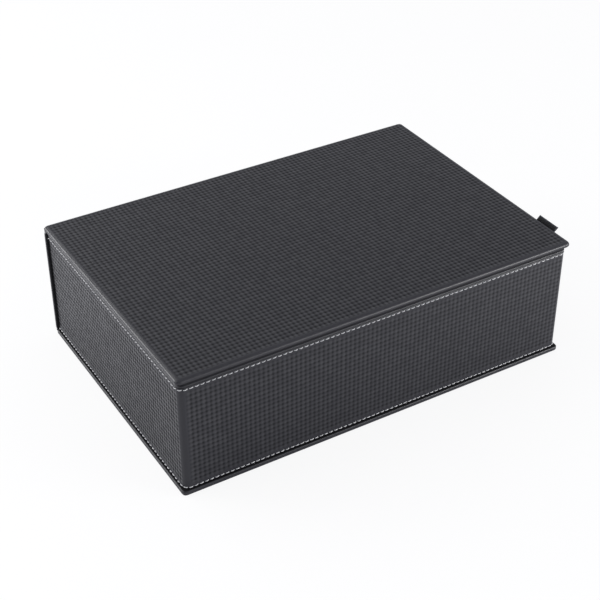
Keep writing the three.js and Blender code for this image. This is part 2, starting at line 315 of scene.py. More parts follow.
def grain_group():
    """Fine pebbles, pores and a slow change of tone, as on any calendered or napped sheet."""
    group, n, start, end = new_group(
        "Sheet_Grain",
        [("Place", "Vector", None), ("Pebble Scale", "Float", 1800.0), ("Tone Scale", "Float", 40.0)],
        ["Height", "Tone", "Speckle"],
    )
    place, pebbles = start["Place"], start["Pebble Scale"]
    pebble_feeds = {"Smoothness": 0.6, "Vector": place, "Scale": pebbles}
    pebble = n.add("ShaderNodeTexVoronoi", pebble_feeds, feature="SMOOTH_F1")
    fine = n.noise(place, n.math("MULTIPLY", pebbles, 1.7), 2.0)
    height = n.math("MULTIPLY_ADD", pebble.outputs["Distance"], -0.7, fine)
    n.feed(end, {"Height": height, "Speckle": fine, "Tone": n.noise(place, start["Tone Scale"], 4.0)})
    return group


def edge_wear_and_painted_highlight_group():
    """Paler edges, partly rub and partly painted highlight: the edge mask broken up by noise."""
    group, n, start, end = new_group(
        "Edge_Wear_And_Painted_Highlight", [("Place", "Vector", None), ("Edge", "Float", 0.0)], ["Wear And Painted Highlight"]
    )
    broken = n.noise(start["Place"], 260.0, 4.0, 0.6)
    lifted = n.math("MULTIPLY_ADD", broken, 1.6, -0.35, clamp=True)
    n.feed(end, {"Wear And Painted Highlight": n.math("MULTIPLY", lifted, start["Edge"], clamp=True)})
    return group


GROUPS = {"weave": weave_group(), "grain": grain_group(), "wear_and_painted_highlight": edge_wear_and_painted_highlight_group()}


def new_material(name, roughness, **constants):
    """A material, a hand for its nodes, and its main shader."""
    material = bpy.data.materials.new(name)
    material.use_nodes = True
    n = Nodes(material.node_tree)
    shader = material.node_tree.nodes["Principled BSDF"]
    n.feed(shader, {key.replace("_", " "): value for key, value in constants.items()})
    n.feed(shader, {"Roughness": roughness})
    return material, n, shader


def use_group(n, name, **inputs):
    node = n.add("ShaderNodeGroup", node_tree=GROUPS[name])
    n.feed(node, {key.replace("_", " "): value for key, value in inputs.items()})
    return node.outputs


def coat(n, shader, colour, roughness, height, relief, strength=1.0):
    """Feeds the main shader: its colour, its roughness, and a bump that is relief high."""
    feeds = {"Strength": strength, "Distance": relief, "Height": height}
    bump = n.add("ShaderNodeBump", feeds).outputs["Normal"]
    n.feed(shader, {"Base Color": colour, "Roughness": roughness, "Normal": bump})


def leather_material(name, with_weave):
    """Black coated leatherette: satin, slightly blue, burnished on the high spots, its edges paler from
    rub and painted highlight; with the weave, painted shade in the pits and in creases and gaps.
    """
    material, n, shader = new_material(name, 0.40, Coat_Roughness=0.36, Specular_IOR_Level=0.26)
    place = n.place()
    black = (0.002, 0.002, 0.003)
    grain = use_group(n, "grain", Place=place, Pebble_Scale=2600.0, Tone_Scale=28.0)
    wear_and_painted_highlight = use_group(n, "wear_and_painted_highlight", Place=place, Edge=n.attribute("edge"))["Wear And Painted Highlight"]
    tone = n.mix(grain["Tone"], (0.0070, 0.0070, 0.0105), (0.0110, 0.0110, 0.0155))
    # Paler, slightly blue edges: partly rub, partly painted highlight.
    colour = n.mix(n.math("MULTIPLY", wear_and_painted_highlight, 0.5), tone, (0.030, 0.030, 0.036))
    rough = n.math("MULTIPLY_ADD", grain["Tone"], 0.12, 0.38)
    rough = n.math("MULTIPLY_ADD", grain["Speckle"], 0.08, rough)
    height = n.math("MULTIPLY", grain["Height"], 0.10)
    polish = n.math("MULTIPLY_ADD", grain["Speckle"], 0.35, 0.33)
    if with_weave:
        cells = n.add("ShaderNodeUVMap", uv_map="Weave").outputs["UV"]
        weave = use_group(n, "weave", Cells=cells, Emboss=n.attribute("emboss"))
        # Painted shade: the pits are darkened towards black.
        colour = n.mix(weave["Pit"], colour, black)
        rough = n.math("MULTIPLY_ADD", weave["Pit"], 0.20, rough)
        height = n.math("ADD", height, n.math("MULTIPLY", weave["Height"], 0.5))
        polish = n.math("MULTIPLY", n.math("MULTIPLY", weave["Burnish"], 2.0), polish, clamp=True)
        # Painted shade where the matte mask is set (turned-in edges, creases, the foot and the ledge
        # under the lid): darker colour, rougher and with no coat.
        matte_and_painted_shade = n.attribute("matte_and_painted_shade")
        colour = n.mix(matte_and_painted_shade, colour, black)
        rough = n.math("MULTIPLY_ADD", matte_and_painted_shade, 0.4, rough)
        polish = n.math("MULTIPLY", polish, n.math("SUBTRACT", 1.0, matte_and_painted_shade), clamp=True)
    n.feed(shader, {"Coat Weight": polish})
    coat(n, shader, colour, rough, height, 0.10 * MM)
    return material


def suede_material(name, dark, light, nap_scale):
    """Napped cloth: blotches where the nap lies one way or the other, and a soft sheen."""
    sheen = {"Sheen_Weight": 0.35, "Sheen_Roughness": 0.45, "Specular_IOR_Level": 0.15}
    material, n, shader = new_material(name, 0.95, **sheen)
    place = n.place()
    grain = use_group(n, "grain", Place=place, Pebble_Scale=3200.0, Tone_Scale=nap_scale)
    nap = n.math("MULTIPLY_ADD", grain["Tone"], 1.8, -0.4, clamp=True)
    speckled = n.math("MULTIPLY_ADD", grain["Speckle"], 0.5, n.math("MULTIPLY", nap, 0.6), clamp=True)
    rough = n.math("MULTIPLY_ADD", nap, -0.12, 1.0)
    coat(n, shader, n.mix(speckled, dark, light), rough, grain["Height"], 0.12 * MM, 0.8)
    return material


def thread_material():
    """Pale waxed thread with a twist."""
    material, n, shader = new_material("pale_thread", 0.55)
    place = n.place()
    twist_feeds = {"Scale": 900.0, "Distortion": 2.0, "Vector": place}
    twist = n.add("ShaderNodeTexWave", twist_feeds, bands_direction="DIAGONAL")
    fuzz = n.noise(place, 1500.0)
    shade = n.math("MULTIPLY_ADD", twist.outputs["Fac"], 0.5, n.math("MULTIPLY", fuzz, 0.5))
    colour = n.mix(shade, (0.42, 0.42, 0.43), (0.80, 0.80, 0.80))
    coat(n, shader, colour, n.math("MULTIPLY_ADD", fuzz, 0.2, 0.5), shade, 0.08 * MM)
    return material


def ribbon_material():
    """Tight black woven ribbon: ribs both ways, and a pale, slightly blue painted highlight along the
    selvages and the fold.
    """
    material, n, shader = new_material("black_ribbon", 0.7, Sheen_Weight=0.05, Specular_IOR_Level=0.22)
    place = n.place()
    ribs = [
        n.add("ShaderNodeTexWave", {"Scale": scale, "Vector": place}, bands_direction=way).outputs["Fac"]
        for way, scale in (("Y", 320.0), ("X", 520.0))
    ]
    height = n.math("MULTIPLY", *ribs)
    stray = n.noise(place, 900.0)
    shade = n.math("MULTIPLY_ADD", stray, 0.4, n.math("MULTIPLY", height, 0.6), clamp=True)
    woven = n.mix(shade, (0.002, 0.002, 0.003), (0.010, 0.010, 0.012))
    # Painted highlight: pale and slightly blue where the edge mask is set.
    colour = n.mix(n.math("MULTIPLY", n.attribute("edge"), 0.8), woven, (0.105, 0.112, 0.135))
    coat(n, shader, colour, n.math("MULTIPLY_ADD", height, -0.2, 0.75), height, 0.10 * MM)
    return material


def board_material():
    """Grey pulp board with fibres and flecks."""
    material, n, shader = new_material("grey_board", 0.9)
    place = n.place()
    grain = use_group(n, "grain", Place=place, Pebble_Scale=900.0, Tone_Scale=60.0)
    fibres = n.noise(place, 400.0, 8.0, 0.7)
    shade = n.math("MULTIPLY_ADD", fibres, 0.7, n.math("MULTIPLY", grain["Tone"], 0.3), clamp=True)
    colour = n.mix(shade, (0.16, 0.14, 0.11), (0.36, 0.33, 0.27))
    coat(n, shader, colour, n.math("MULTIPLY_ADD", fibres, 0.1, 0.85), fibres, 0.05 * MM)
    return material


def steel_material():
    """Plated magnet with a fine brushed grain."""
    material, n, shader = new_material("plated_magnet", 0.3, Metallic=1.0)
    place = n.place()
    stretch = n.add("ShaderNodeMapping", {"Scale": (60.0, 2500.0, 2500.0), "Vector": place})
    brushed = n.noise(stretch.outputs["Vector"], 1.0, 4.0)
    colour = n.mix(brushed, (0.40, 0.41, 0.43), (0.58, 0.59, 0.61))
    coat(n, shader, colour, n.math("MULTIPLY_ADD", brushed, 0.2, 0.22), brushed, 0.01 * MM)
    return material


LEATHER = leather_material("embossed_leatherette", True)
PLAIN_LEATHER = leather_material("plain_leatherette", False)
SUEDE = suede_material("black_suede", (0.010, 0.010, 0.011), (0.030, 0.030, 0.033), 45.0)
CUSHION_SUEDE = suede_material("charcoal_suede", (0.020, 0.020, 0.022), (0.052, 0.052, 0.056), 70.0)
THREAD_FINISH = thread_material()
RIBBON = ribbon_material()
BOARD = board_material()
STEEL = steel_material()


# ------------------------------------------------------------------ mesh making


def make_piece(name, points, faces, material, cells=None, emboss=None, edge=None, matte_and_painted_shade=None):
    """A mesh object at the origin, with its weave map and masks."""
    mesh = bpy.data.meshes.new(name)
    mesh.from_pydata(points.tolist(), [], faces)
    mesh.update()
    corner_point = np.zeros(len(mesh.loops), np.int32)
    mesh.loops.foreach_get("vertex_index", corner_point)
    if cells is not None:
        layer = mesh.uv_layers.new(name="Weave")
        layer.data.foreach_set("uv", cells[corner_point].astype(np.float32).ravel())
    # In the materials that read them, the edge mask paints edges paler and the matte mask paints shade.
    for label, values in (("emboss", emboss), ("edge", edge), ("matte_and_painted_shade", matte_and_painted_shade)):
        if values is not None:
            attribute = mesh.attributes.new(label, "FLOAT", "POINT")
            attribute.data.foreach_set("value", values.astype(np.float32))
    mesh.shade_smooth()
    mesh.materials.append(material)
    return put_in_scene(name, mesh)


def settle(piece, body, slot, *nodes):
    """The piece rides on its body and stands for its CAD nodes, which are hidden. The slot is not used.
    """
    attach(piece, body)
    if nodes:
        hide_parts(*nodes)
    return piece


def weave_height(cells_u, cells_v, seed):
    """Depth below the raised squares, with each square a little higher or lower than the next."""
    wave_u = 0.5 - 0.5 * np.cos(TAU * cells_u)
    wave_v = 0.5 - 0.5 * np.cos(TAU * cells_v)
    low = 1.0 - 0.5 * (wave_u + wave_v)
    rng = np.random.default_rng(seed)
    kinds = 256
    table = rng.uniform(0.0, UNEVEN_SQUARES, (kinds, kinds))
    uneven = table[np.floor(cells_u).astype(int) % kinds, np.floor(cells_v).astype(int) % kinds]
    return low + uneven * wave_u * wave_v


def grid_lines(half, step):
    """Even lines through the middle, and one on each edge."""
    count = int((half - 0.25 * step) / step)
    inner = np.arange(-count, count + 1) * step
    return np.concatenate([[-half], inner, [half]])


def wrapped_panel(
    name, size, quads, to_frame, seed,
    soft=PANEL_SOFT, soft_back=PANEL_SOFT_BACK, turned_in_shade=1.0, reach_in=None,
):
    """Leatherette round a board. Local axes: a along, b across, the third out of the embossed face."""
    length, width, thickness = size
    half_a, half_b = length / 2, width / 2
    core_a, core_b = half_a - PANEL_CORNER, half_b - PANEL_CORNER
    reach_in = reach_in or soft
    lines_a = grid_lines(half_a - reach_in, CELL / quads)
    lines_b = grid_lines(half_b - reach_in, CELL / quads)
    a, b = np.meshgrid(lines_a, lines_b, indexing="ij")

    # Squares near a corner are drawn in to its arc.
    over_a = np.clip(np.abs(a) - core_a, 0.0, None)
    over_b = np.clip(np.abs(b) - core_b, 0.0, None)
    longest = np.maximum(over_a, over_b)
    diagonal = np.hypot(over_a, over_b)
    pull = np.where(diagonal > 0, longest / np.maximum(diagonal, 1e-12), 1.0)
    flat_a = np.sign(a) * (np.minimum(np.abs(a), core_a) + over_a * pull)
    flat_b = np.sign(b) * (np.minimum(np.abs(b), core_b) + over_b * pull)

    from_edge = np.minimum(half_a - np.abs(flat_a), half_b - np.abs(flat_b))
    emboss = smoothstep(reach_in + 0.1 * MM, reach_in + 1.2 * MM, from_edge)
    # A raised square or a furrow lies on the middle line, whichever fills the panel evenly.
    cells_a = a / CELL + 0.5 * (round(length / CELL) % 2)
    cells_b = b / CELL + 0.5 * (round(width / CELL) % 2)
    depth = WEAVE_DEPTH * weave_height(cells_a, cells_b, seed) * emboss
    top = np.stack([flat_a, flat_b, thickness - depth], axis=-1).reshape(-1, 3)
    rows, columns = a.shape
    index = np.arange(rows * columns).reshape(rows, columns)
    faces = four_sided(index[:-1, :-1], index[1:, :-1], index[1:, 1:], index[:-1, 1:])

    # The rim of that grid, once round, and then loop after loop over the edge.
    rim = border(index)
    rim_a, rim_b = a.ravel()[rim], b.ravel()[rim]
    away_a = np.clip(np.abs(rim_a) - core_a, 0.0, None)
    away_b = np.clip(np.abs(rim_b) - core_b, 0.0, None)
    away = np.hypot(away_a, away_b)
    out_a = np.sign(rim_a) * away_a / away
    out_b = np.sign(rim_b) * away_b / away
    base_a = np.clip(rim_a, -core_a, core_a)
    base_b = np.clip(rim_b, -core_b, core_b)

    def loop_at(inset, level):
        stretch = PANEL_CORNER - inset
        level = np.full(len(rim), level)
        return np.stack([base_a + out_a * stretch, base_b + out_b * stretch, level], axis=-1)

    # The grid's own border is set on the first loop, which is where the rounding starts.
    top[rim, :2] = loop_at(reach_in, 0.0)[:, :2]
    top[rim, 2] = thickness
    steps = []
    for angle in np.radians([22.5, 45.0, 67.5, 90.0]):
        steps.append((reach_in * (1 - math.sin(angle)), thickness - soft * (1 - math.cos(angle))))
    for angle in np.radians([0.0, 30.0, 60.0, 90.0]):
        steps.append((soft_back * (1 - math.cos(angle)), soft_back * (1 - math.sin(angle))))
    steps.append((soft_back + 0.7 * MM, 0.0))
    loops = [loop_at(inset, level) for inset, level in steps]
    points = np.concatenate([top] + loops)
    count = len(rim)
    previous = rim
    for k in range(len(loops)):
        current = len(top) + k * count + np.arange(count)
        faces += four_sided(previous, current, np.roll(current, -1), np.roll(previous, -1))
        previous = current
    faces.append(previous[::-1].tolist())

    cells = np.zeros((len(points), 2))
    cells[: len(top), 0], cells[: len(top), 1] = cells_a.ravel(), cells_b.ravel()
    mask, rub_and_painted_light, matte_and_painted_shade = np.zeros((3, len(points)))
    mask[: len(top)] = emboss.ravel()
    # The rounding is painted paler, partly as rub and partly as painted highlight. The leather beyond it
    # is turned in and gets painted shade, and the last loops always do.
    rub_and_painted_light[rim] = 0.6
    rub_and_painted_light[len(top) : len(top) + 4 * count] = 1.0
    matte_and_painted_shade[len(top) + 5 * count :] = turned_in_shade
    matte_and_painted_shade[-2 * count :] = 1.0
    return make_piece(name, to_frame(points), faces, LEATHER, cells, mask, rub_and_painted_light, matte_and_painted_shade)


# ------------------------------------------------------------------ case


def make_lid():
    low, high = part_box("lid_cover")
    centre = np.array([(low.x + high.x) / 2, (low.y + high.y) / 2, low.z])
    piece = wrapped_panel(
        "lid_leather", high - low, 4, lambda p: p + centre, seed=11, reach_in=LID_SOFT_WIDTH
    )
    settle(piece, "lid", "leatherette", "lid_cover")


def make_base():
    """Its embossed face lies underneath."""
    low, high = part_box("base_cover")
    centre = np.array([(low.x + high.x) / 2, (low.y + high.y) / 2, high.z])
    turn = np.array([1.0, -1.0, -1.0])
    piece = wrapped_panel(
        "base_leather", high - low, 3, lambda p: p * turn + centre, seed=12,
        soft=0.9 * MM, soft_back=0.8 * MM, turned_in_shade=0.0,
    )
    settle(piece, "case", "leatherette", "base_cover")


def make_spine():
    """It reaches from just behind the base up to the joint under the lid."""
    low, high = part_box("spine_cover")
    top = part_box("tray_cover")[1].z - 0.1 * MM
    bottom = low.z - SPINE_REACH
    centre = np.array([(low.x + high.x) / 2, low.y, (bottom + top) / 2])
    size = (high.x - low.x, top - bottom, high.y - low.y)

    def stand_up(p):
        return np.stack([p[:, 0], p[:, 2], -p[:, 1]], axis=-1) + centre

    piece = wrapped_panel("spine_leather", size, 4, stand_up, seed=13, soft=0.5 * MM, soft_back=2.0 * MM)
    settle(piece, "case", "leatherette", "spine_cover")


def swept_strip(name, outline, low_x, high_x, columns, material):
    """A closed outline in the YZ plane, drawn along X, with its ends closed."""
    count = len(outline)
    points = [(x, y, z) for x in np.linspace(low_x, high_x, columns) for y, z in outline]
    faces = tube_faces(columns, count)
    faces.append(list(range(count))[::-1])
    faces.append([(columns - 1) * count + j for j in range(count)])
    piece = make_piece(name, np.array(points), faces, material)
    face_outwards(piece)
    return piece


def face_outwards(piece):
    bm = bmesh.new()
    bm.from_mesh(piece.data)
    bmesh.ops.recalc_face_normals(bm, faces=bm.faces)
    bm.to_mesh(piece.data)
    bm.free()


def creased(outside, thick, levels, crease, dip, width):
    """The outline of an upright strip of leather with a crease in its outer face."""
    outer = [(outside - dip * hump(z, crease, width), z) for z in levels]
    return outer + [(outside - thick, z) for z in levels[::-1]]


def make_joint_leather():
    """The strip at the hinge: it lies in the groove between the spine and the lid's back edge."""
    lid_low, lid_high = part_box("lid_cover")
    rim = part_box("tray_cover")[1].z
    outside = lid_high.y - 0.09 * MM
    levels = np.linspace(rim - 1.0 * MM, lid_low.z + 1.3 * MM, 15)
    crease = (rim + lid_low.z) / 2
    outline = creased(outside, 0.55 * MM, levels, crease, 0.12 * MM, 0.35 * MM)
    ends = lid_low.x + 0.5 * MM, lid_high.x - 0.5 * MM
    piece = swept_strip("joint_leather", outline, *ends, 60, PLAIN_LEATHER)
    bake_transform(piece)
    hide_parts("hinge_leather")


def make_base_joint():
    """The same sheet of leather, turned from the base up into the spine."""
    base_low, base_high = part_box("base_cover")
    levels = np.linspace(base_low.z + 1.5 * MM, base_high.z + 3.0 * MM, 13)
    crease = base_high.z - 0.3 * MM
    outline = creased(base_high.y - 0.09 * MM, 0.6 * MM, levels, crease, 0.15 * MM, 0.4 * MM)
    ends = base_low.x + 0.4 * MM, base_high.x - 0.4 * MM
    piece = swept_strip("base_joint_leather", outline, *ends, 60, PLAIN_LEATHER)
    settle(piece, "case", "leatherette")


def make_joint_liner():
    """Suede folded double in the gap: its lower half is glued to the rim, its upper half to the lid."""
    low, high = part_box("hinge_liner")
    rim, lid_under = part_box("tray_cover")[1].z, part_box("lid_cover")[0].z
    half = 0.08 * MM
    lower, upper = rim + half + 0.04 * MM, lid_under - half - 0.04 * MM
    radius = (upper - lower) / 2
    fold_y = high.y - radius - half
    middle = (lower + upper) / 2
    turns = np.linspace(-math.pi / 2, math.pi / 2, 13)
    straight = np.linspace(low.y + 0.3 * MM, fold_y, 8)[:-1]

    def around(reach, turns):
        return [(fold_y + reach * math.cos(t), middle + reach * math.sin(t)) for t in turns]

    outline = [(y, lower - half) for y in straight] + around(radius + half, turns)
    outline += [(y, upper + half) for y in straight[::-1]] + [(y, upper - half) for y in straight]
    outline += around(radius - half, turns[::-1]) + [(y, lower + half) for y in straight[::-1]]
    piece = swept_strip("joint_liner", outline, low.x, high.x, 40, SUEDE)
    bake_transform(piece)
    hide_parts("hinge_liner")


# ------------------------------------------------------------------ tray band


def band_path(low, high, fine, coarse):
    """Columns once round the tray, counter-clockwise from the front's left end.

    For each one: its place, the way out, the side (4 at a corner), the corner's radius there, the
    distance along its own side from the middle, and how far the weave shows."""
    front, back = TRAY_CORNER, TRAY_BACK_CORNER
    columns = []

    def straight(start, end, outward, side, step, fade_in=None, fade_out=None):
        start, end = np.array(start), np.array(end)
        length = np.linalg.norm(end - start)
        for d in grid_lines(length / 2, step) + length / 2:
            weave = smoothstep(*fade_in, d) if fade_in else 1.0
            weave = weave * smoothstep(*fade_out, length - d) if fade_out else weave
            spot = start + (end - start) * d / length
            radius = front if spot[1] < 0 else back
            columns.append((spot, outward, side, radius, d - length / 2, weave))
        return length

    def corner(centre, radius, first_angle, before, after):
        """The side before and the side after each carry their weave a little way round."""
        arc = radius * math.pi / 2
        for k in range(1, CORNER_STEPS):
            t = first_angle + math.pi / 2 * k / CORNER_STEPS
            outward = np.array([math.cos(t), math.sin(t)])
            travel = arc * k / CORNER_STEPS
            left = arc - travel
            first = travel < left
            length, woven = before if first else after
            gone = travel if first else left
            along = length / 2 + gone if first else -length / 2 - gone
            weave = 1 - smoothstep(0.3 * MM, 2.6 * MM, gone) if woven else 0.0
            columns.append((np.array(centre) + radius * outward, outward, 4, radius, along, weave))

    x_front, x_back = (low.x + front, high.x - front), (low.x + back, high.x - back)
    y_front, y_back = low.y + front, high.y - back
    wide, wide_back, deep = x_front[1] - x_front[0], x_back[1] - x_back[0], y_back - y_front
    late = (-1.5 * MM, 2.5 * MM)
    straight((x_front[0], low.y), (x_front[1], low.y), (0, -1), 0, fine, fade_in=late)
    corner((x_front[1], y_front), front, -math.pi / 2, (wide, True), (deep, True))
    straight((high.x, y_front), (high.x, y_back), (1, 0), 1, fine)
    corner((x_back[1], y_back), back, 0.0, (deep, True), (wide_back, False))
    straight((x_back[1], high.y), (x_back[0], high.y), (0, 1), 2, coarse)
    corner((x_back[0], y_back), back, math.pi / 2, (wide_back, False), (deep, True))
    straight((low.x, y_back), (low.x, y_front), (-1, 0), 3, fine)
    corner((x_front[0], y_front), front, math.pi, (deep, True), (wide, False))
    return (np.array(v) for v in zip(*columns))


def corner_dip(places, low):
    """The seams sag a little at the front-left corner, where the leather is pulled round it."""
    away = np.hypot(places[:, 0] - low.x - TRAY_CORNER, places[:, 1] - low.y - TRAY_CORNER)
    return 0.9 * MM * hump(np.maximum(away - TRAY_CORNER, 0.0), 0.0, 7.0 * MM)


def seam_lines(low, high):
    return high.z - UPPER_SEAM, low.z + LOWER_SEAM


def band_inset(z, low, high, upper_dip=0.0, lower_dip=0.0):
    """How far the band's face lies inside its outermost line: bead, crease and seams."""
    upper, lower = seam_lines(low, high)
    upper, lower = upper - upper_dip, lower - lower_dip
    crease = high.z - BEAD_CREASE
    inset = 0.16 * MM * (1 - smoothstep(crease - 0.1 * MM, crease + 0.7 * MM, z))
    inset = inset + 0.46 * MM * hump(z, crease, CREASE_WIDTH)
    inset = inset + 0.10 * MM * hump(z, upper, 0.55 * MM)
    return inset + 0.12 * MM * hump(z, lower, 0.50 * MM)


def make_tray_band():
    low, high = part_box("tray_cover")
    places, outwards, sides, radius, along, weave = band_path(low, high, CELL / 4, BAND_COARSE)
    upper, lower = seam_lines(low, high)

    # Levels of the outer face, from the foot to the rim: fine where the weave is.
    weave_top, weave_bottom = upper - 1.2 * MM, lower + 1.6 * MM
    cell_levels = np.arange(weave_bottom, weave_top, CELL / 3)
    bead = high.z - BEAD_DROP
    seam_levels = np.linspace(weave_top + 0.2 * MM, bead, 12)
    foot_levels = np.linspace(low.z + FOOT_SOFT, weave_bottom - 0.4 * MM, 4)
    levels = np.concatenate([foot_levels, cell_levels, seam_levels])
    inset = band_inset(levels, low, high)
    section = [(0.6 * MM, low.z + 0.3 * MM), (0.6 * MM, low.z)]
    section += [
        (FOOT_SOFT * (1 - math.sin(t)) + inset[0], low.z + FOOT_SOFT * (1 - math.cos(t)))
        for t in np.radians([0.0, 20.0, 40.0, 60.0, 75.0])
    ]
    first_face = len(section)
    section += list(zip(inset, levels))
    face = slice(first_face, len(section))
    section += [
        (BEAD_RADIUS * (1 - math.cos(t)), bead + BEAD_RADIUS * math.sin(t))
        for t in np.radians([15.0, 30.0, 45.0, 60.0, 75.0, 90.0])
    ]
    # Behind the bead the leather steps up to the rim's flat top.
    step_foot, step_soft = bead + BEAD_RADIUS, 0.5 * MM
    section += [(LEDGE_DEPTH - 0.15 * MM, step_foot), (LEDGE_DEPTH, step_foot + 0.15 * MM)]
    section += [
        (LEDGE_DEPTH + step_soft * (1 - math.cos(t)), high.z - step_soft * (1 - math.sin(t)))
        for t in np.radians([0.0, 30.0, 60.0, 90.0])
    ]
    # At the mouth it turns down inside the wall, and comes back up behind itself.
    lip_in, lip_soft, lip_drop, back = 5.4 * MM, 0.9 * MM, 8.0 * MM, 0.6 * MM
    section += [(lip_in - lip_soft, high.z)]
    section += [
        (lip_in - lip_soft * (1 - math.sin(t)), high.z - lip_soft * (1 - math.cos(t)))
        for t in np.radians([30.0, 60.0, 90.0])
    ]
    section += [(lip_in, high.z - lip_drop + 0.2 * MM), (lip_in - 0.2 * MM, high.z - lip_drop)]
    section += [(lip_in - 0.5 * MM, high.z - lip_drop), (lip_in - 0.5 * MM, high.z - back)]
    section += [(back, high.z - back)]
    section = np.array(section)
    columns, count = len(places), len(section)

    # The mouth has square corners, so what lies deeper than the corner's radius follows a tighter arc.
    depth = np.repeat(section[None, :, 0], columns, axis=0)
    height = np.repeat(section[None, :, 1], columns, axis=0)
    fade = np.zeros((columns, count))
    sideways = weave * (sides != 2)
    upright = smoothstep(weave_bottom - 0.2 * MM, weave_bottom + 2.2 * MM, levels)
    upright = upright * (1 - smoothstep(weave_top - 2.4 * MM, weave_top, levels))
    fade[:, face] = sideways[:, None] * upright[None, :]
    cells_u = np.repeat(along[:, None] / CELL, count, axis=1)
    cells_v = (height - weave_bottom) / CELL
    # Each side takes squares of its own from the table of heights.
    own_u, own_v = cells_u + 100, cells_v + 100 * sides[:, None]
    depth = depth + BAND_WEAVE_DEPTH * fade * weave_height(own_u, own_v, 14)

    dip = corner_dip(places, low)[:, None]
    sagged = band_inset(height, low, high, UPPER_DIP * dip, LOWER_DIP * dip)
    depth[:, face] += (sagged - band_inset(height, low, high))[:, face]
    core = np.maximum(radius[:, None] - depth, TIGHTEST_CORNER)
    slide = np.clip(depth - (radius[:, None] - TIGHTEST_CORNER), 0.0, None)
    middle = np.array([(low.x + high.x) / 2, (low.y + high.y) / 2])
    centre = places - outwards * radius[:, None]
    towards = np.sign(middle - centre)
    xy = centre[:, None, :] + outwards[:, None, :] * core[..., None]
    corner_side = (sides == 4)[:, None, None]
    xy = xy + np.where(corner_side, towards[:, None, :], -outwards[:, None, :]) * slide[..., None]
    # On a straight side the inner lines end where the square mouth's corner is.
    runs_x = ((sides == 0) | (sides == 2))[:, None]
    runs_y = ((sides == 1) | (sides == 3))[:, None]
    local = xy - middle
    limit_x = (high.x - low.x) / 2 - radius[:, None] - slide
    limit_y = (high.y - low.y) / 2 - radius[:, None] - slide
    local[..., 0] = np.where(runs_x, np.clip(local[..., 0], -limit_x, limit_x), local[..., 0])
    local[..., 1] = np.where(runs_y, np.clip(local[..., 1], -limit_y, limit_y), local[..., 1])
    xy = local + middle
    points = np.concatenate([xy, height[..., None]], axis=-1).reshape(-1, 3)

    index = np.arange(columns * count).reshape(columns, count)
    right, above = np.roll(index, -1, axis=0), np.roll(index, -1, axis=1)
    faces = four_sided(index, right, np.roll(right, -1, axis=1), above)
    cells = np.stack([cells_u, cells_v], axis=-1).reshape(-1, 2)
    # The bead is painted paler, partly as rub and partly as a painted highlight. The crease, the step
    # behind the bead and the foot get painted shade.
    rim_edge = hump(height - bead, 0.3 * MM, 0.5 * MM) * (depth < BEAD_RADIUS)
    matte_and_painted_shade = 0.9 * hump(height, high.z - BEAD_CREASE, CREASE_WIDTH)
    matte_and_painted_shade = np.maximum(matte_and_painted_shade, smoothstep(0.45 * MM, 0.8 * MM, depth) * (height > bead))
    matte_and_painted_shade = np.maximum(matte_and_painted_shade, 1 - smoothstep(low.z + 0.4 * MM, low.z + FOOT_SOFT, height))
    # The emboss mask sets the painted pit shade and the polish; the left side gets more of both.
    left = places[:, 0] < low.x + TRAY_CORNER
    rub_and_painted_light = np.where(left, LEFT_PAINTED_PIT_SHADE_AND_POLISH, BAND_PAINTED_PIT_SHADE_AND_POLISH)[:, None] * fade
    masks = (mask.ravel() for mask in (rub_and_painted_light, rim_edge, matte_and_painted_shade))
    piece = make_piece("tray_leather", points, faces, LEATHER, cells, *masks)
    settle(piece, "case", "leatherette", "tray_cover")


def settle_board(piece, body, node):
    """Boards are cut, so their edges stay sharp."""
    for polygon in piece.data.polygons:
        polygon.use_smooth = False
    settle(piece, body, "board", node)


def make_panel_boards():
    """The boards in the lid and the base, with corners cut round so that the leather turns over them."""
    radius, shy = BOARD_CORNER, 0.1 * MM
    turns = np.radians(np.arange(0.0, 91.0, 15.0))
    for name, body in (("lid_board", "lid"), ("base_board", "case")):
        low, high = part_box(name)
        outline = []
        corners = ((high.x, high.y), (low.x, high.y), (low.x, low.y), (high.x, low.y))
        for quarter, (x, y) in enumerate(corners):
            centre_x = x - math.copysign(radius + shy, x)
            centre_y = y - math.copysign(radius + shy, y)
            for t in turns + quarter * math.pi / 2:
                outline.append((centre_x + radius * math.cos(t), centre_y + radius * math.sin(t)))
        count = len(outline)
        points = [(x, y, z) for z in (low.z, high.z) for x, y in outline]
        faces = [(i, (i + 1) % count, (i + 1) % count + count, i + count) for i in range(count)]
        faces += [list(range(count))[::-1], list(range(count, 2 * count))]
        settle_board(make_piece(name + "_pulp", np.array(points), faces, BOARD), body, name)


def make_wall_boards():
    """The boards inside the band. Their upper outer edge is skived away under the bead."""
    tray_low, tray_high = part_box("tray_cover")
    for side in ("front", "back", "left", "right"):
        low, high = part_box(side + "_wall")
        across = 1 if side in ("front", "back") else 0
        outer, inner = low[across], high[across]
        if side in ("back", "right"):
            outer, inner = inner, outer
        inwards = math.copysign(1.0, inner - outer)
        outer += inwards * 0.05 * MM
        foot, top = low.z + 0.05 * MM, high.z - 0.05 * MM
        section = [(outer, foot + SKIVED), (outer + inwards * SKIVED / 2, foot), (inner, foot)]
        section += [(inner, top), (outer + inwards * SKIVED, top), (outer, top - SKIVED)]
        ends = (low.x, high.x) if across else (low.y, high.y)
        if side == "front":
            ends = (tray_low.x + TRAY_CORNER, tray_high.x - TRAY_CORNER)
        elif side == "back":
            ends = (low.x + 0.4 * MM, high.x - 0.4 * MM)
        piece = swept_strip(side + "_wall_pulp", section, *ends, 2, BOARD)
        if not across:
            points = np.array([v.co for v in piece.data.vertices])
            piece.data.vertices.foreach_set("co", points[:, [1, 0, 2]].ravel())
            face_outwards(piece)
        settle_board(piece, "case", side + "_wall")


# ------------------------------------------------------------------ stitching


